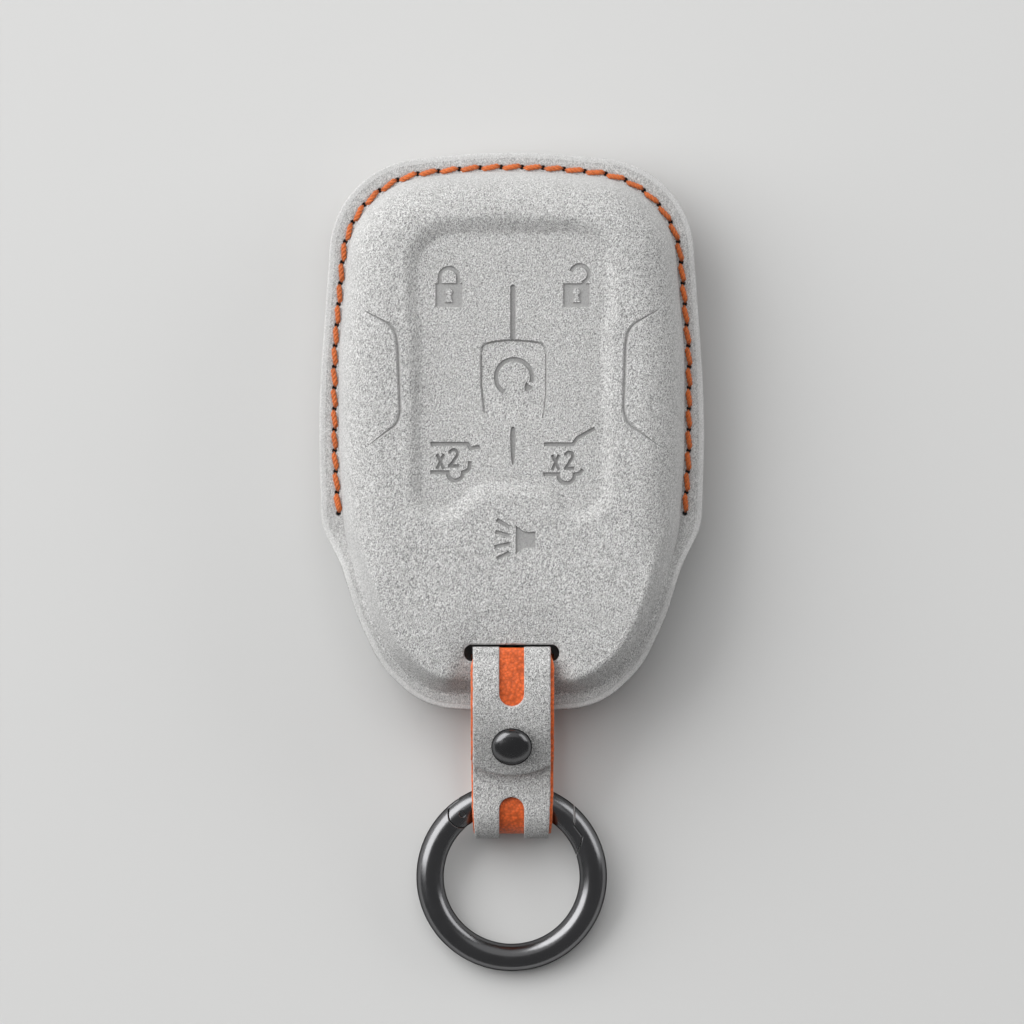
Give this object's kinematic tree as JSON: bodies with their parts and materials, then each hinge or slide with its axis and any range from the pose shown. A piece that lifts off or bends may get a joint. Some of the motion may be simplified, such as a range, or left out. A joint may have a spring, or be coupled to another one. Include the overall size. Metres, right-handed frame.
{
  "type": "key fob cover",
  "caption": "Sewn suede cover for a car key fob, open at the lower end, with a strap held by a ball stud and a spring gate key ring.",
  "frame": {"origin": "on the back face, at the middle of the cover's width and length", "axes": "+X across the cover, +Y towards its closed top end, +Z out of the front face"},
  "size_m": [0.0602, 0.1283, 0.0214],
  "materials": {
    "suede": "brushed nap, matte",
    "core": "moulded stiffener sheet",
    "lining": "thin matte lining",
    "thread": "thick twisted waxed thread",
    "strap_liner": "smooth coloured leather",
    "gunmetal": "polished dark plating",
    "spring_steel": "drawn wire"
  },
  "bodies": {
    "cover": {"front_suede": "suede", "front_core": "core", "front_lining": "lining", "rear_suede": "suede", "rear_core": "core", "rear_lining": "lining", "needle_thread": "thread", "bobbin_thread": "thread", "strap_suede": "suede", "strap_liner": "strap_liner", "stud_ball": "gunmetal", "stud_screw": "gunmetal"},
    "tongue": {"tongue_suede": "suede", "tongue_liner": "strap_liner"},
    "gate": {"ring_gate": "gunmetal", "gate_pin": "gunmetal", "gate_spring": "spring_steel"},
    "ring": {"ring_frame": "gunmetal"}
  },
  "joints": [
    {"name": "tongue_lift", "type": "hinge", "parent": "cover", "child": "tongue", "pos_m": [0, -0.0371, 0.01905], "axis": [-1, 0, 0], "range_deg": [0, 110], "deforming": ["tongue_suede", "tongue_liner"]},
    {"name": "ring_swing", "type": "hinge", "parent": "cover", "child": "gate", "pos_m": [0, -0.05812, 0.00553], "axis": [-1, 0, 0], "range_deg": [-105, 105]},
    {"name": "gate_open", "type": "hinge", "parent": "gate", "child": "ring", "pos_m": [-0.0077, -0.05954, 0.00533], "axis": [0, -0.138, 0.9904], "range_deg": [0, 20], "stiffness_Nm_per_rad": 0.01, "springref_deg": -20.05}
  ]
}
